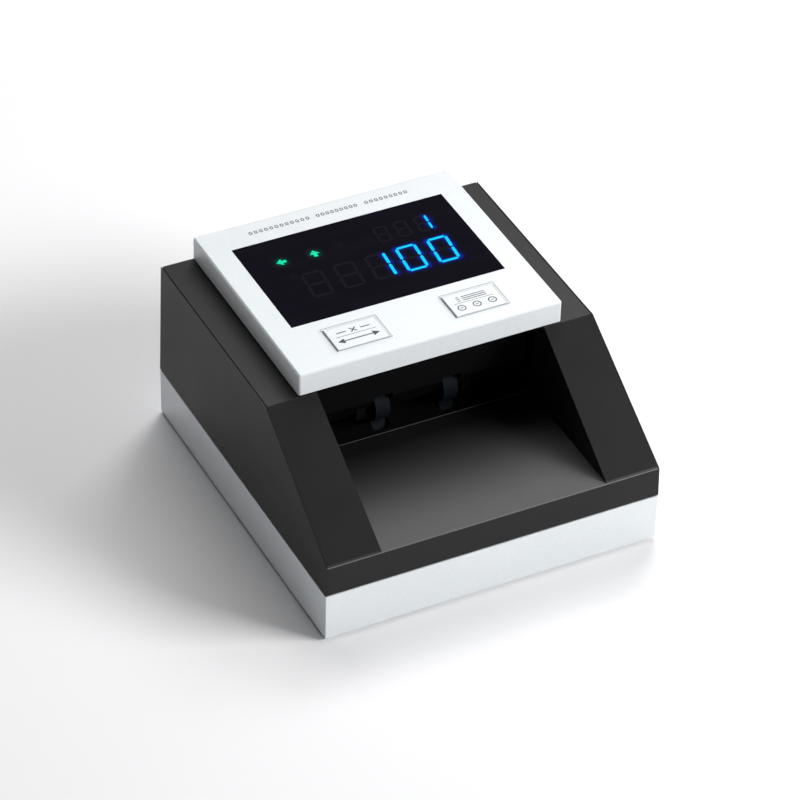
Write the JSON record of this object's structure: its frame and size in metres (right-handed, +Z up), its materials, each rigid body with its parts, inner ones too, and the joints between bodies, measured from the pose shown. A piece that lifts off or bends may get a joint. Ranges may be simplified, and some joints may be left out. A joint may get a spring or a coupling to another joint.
{
  "type": "counterfeit bill detector",
  "caption": "Desk-top automatic banknote detector with an open front feed tray, sensor channel and a raised display console on a hinged lid.",
  "frame": {"origin": "centre of the footprint on the surface that the object stands on", "axes": "+Z up, -Y towards the operator and the feed tray, +X to the operator's right"},
  "size_m": [0.138, 0.1494, 0.0802],
  "materials": {
    "silver_plastic": "fine satin silver paint on a moulded shell",
    "black_shell": "fine spark-textured matte black",
    "black_internal": "plain matte black",
    "dark_rubber": "matte",
    "roller_rubber": "matte blue-grey",
    "steel": "drawn, zinc plated",
    "motor_steel": "drawn can",
    "bronze": "sintered bronze and brass",
    "white_acetal": "moulded acetal",
    "circuit_board": "green solder resist",
    "black_component": "moulded component body",
    "green_lamp": "tinted lens",
    "smoked_window": "smoked acrylic, polished",
    "sensor_glass": "polished dark filter glass"
  },
  "bodies": {
    "base": {"base_frame": "silver_plastic", "left_side_panel": "black_shell", "right_side_panel": "black_shell", "front_shell": "black_shell", "rear_cover": "black_shell", "note_deck": "black_internal", "bottom_plate": "black_internal", "rubber_feet": "dark_rubber", "drive_belt": "dark_rubber", "hinge_pins": "steel", "bottom_screws": "steel", "board_screws": "steel", "left_chassis_plate": "steel", "right_chassis_plate": "steel", "drive_motor": "motor_steel", "shaft_bushes": "bronze", "board_standoffs": "bronze", "main_board": "circuit_board", "lower_sensor_board": "circuit_board", "buzzer": "black_component", "power_inlet": "black_component", "data_port": "black_component", "power_switch": "black_component", "lower_sensor_window": "sensor_glass"},
    "front_drive": {"front_shaft": "steel", "front_drive_rollers": "roller_rubber", "front_pulley": "white_acetal"},
    "rear_drive": {"rear_shaft": "steel", "rear_drive_rollers": "roller_rubber", "rear_pulley": "white_acetal"},
    "motor_rotor": {"motor_shaft": "steel", "motor_pulley": "white_acetal"},
    "lid": {"top_cover": "black_shell", "upper_housing": "black_internal", "upper_sensor_window": "sensor_glass", "upper_sensor_board": "circuit_board", "magnetic_heads": "steel", "housing_screws": "steel", "console_plate": "silver_plastic", "console_screws": "steel", "display_window": "smoked_window", "console_base": "black_internal", "display_board": "circuit_board", "digit_modules": "black_component", "indicator_lamps": "green_lamp", "key_switches": "black_component"},
    "front_idler": {"front_idler_axle": "steel", "front_idler_rollers": "roller_rubber"},
    "rear_idler": {"rear_idler_axle": "steel", "rear_idler_rollers": "roller_rubber"},
    "left_key_cap": {"left_key": "silver_plastic"},
    "right_key_cap": {"right_key": "silver_plastic"},
    "rocker": {"power_rocker": "black_component"}
  },
  "joints": [
    {"name": "lid_hinge", "type": "hinge", "parent": "base", "child": "lid", "pos_m": [0, 0.06775, 0.0627], "axis": [-1, 0, 0], "range_deg": [0, 60]},
    {"name": "front_drive_spin", "type": "hinge", "parent": "base", "child": "front_drive", "pos_m": [0, -0.00275, 0.02815], "axis": [1, 0, 0], "continuous": true},
    {"name": "rear_drive_spin", "type": "hinge", "parent": "base", "child": "rear_drive", "pos_m": [0, 0.04425, 0.02815], "axis": [1, 0, 0], "continuous": true},
    {"name": "motor_spin", "type": "hinge", "parent": "base", "child": "motor_rotor", "pos_m": [-0.05, 0.02, 0.0186], "axis": [1, 0, 0], "continuous": true},
    {"name": "front_idler_spin", "type": "hinge", "parent": "lid", "child": "front_idler", "pos_m": [0, -0.00275, 0.04245], "axis": [1, 0, 0], "continuous": true},
    {"name": "rear_idler_spin", "type": "hinge", "parent": "lid", "child": "rear_idler", "pos_m": [0, 0.04425, 0.04245], "axis": [1, 0, 0], "continuous": true},
    {"name": "left_key_press", "type": "slide", "parent": "lid", "child": "left_key_cap", "axis": [0, 0, -1], "range_m": [0, 0.0006], "stiffness_N_per_m": 400},
    {"name": "right_key_press", "type": "slide", "parent": "lid", "child": "right_key_cap", "axis": [0, 0, -1], "range_m": [0, 0.0006], "stiffness_N_per_m": 400},
    {"name": "power_rocker_tilt", "type": "hinge", "parent": "base", "child": "rocker", "pos_m": [-0.057, 0.07135, 0.036], "axis": [1, 0, 0], "range_deg": [0, 14]}
  ],
  "couplings": [
    {"joint": "rear_drive_spin", "follows": "front_drive_spin", "ratio": 1},
    {"joint": "motor_spin", "follows": "front_drive_spin", "ratio": 1.7778},
    {"joint": "front_idler_spin", "follows": "front_drive_spin", "ratio": -1},
    {"joint": "rear_idler_spin", "follows": "front_drive_spin", "ratio": -1}
  ]
}
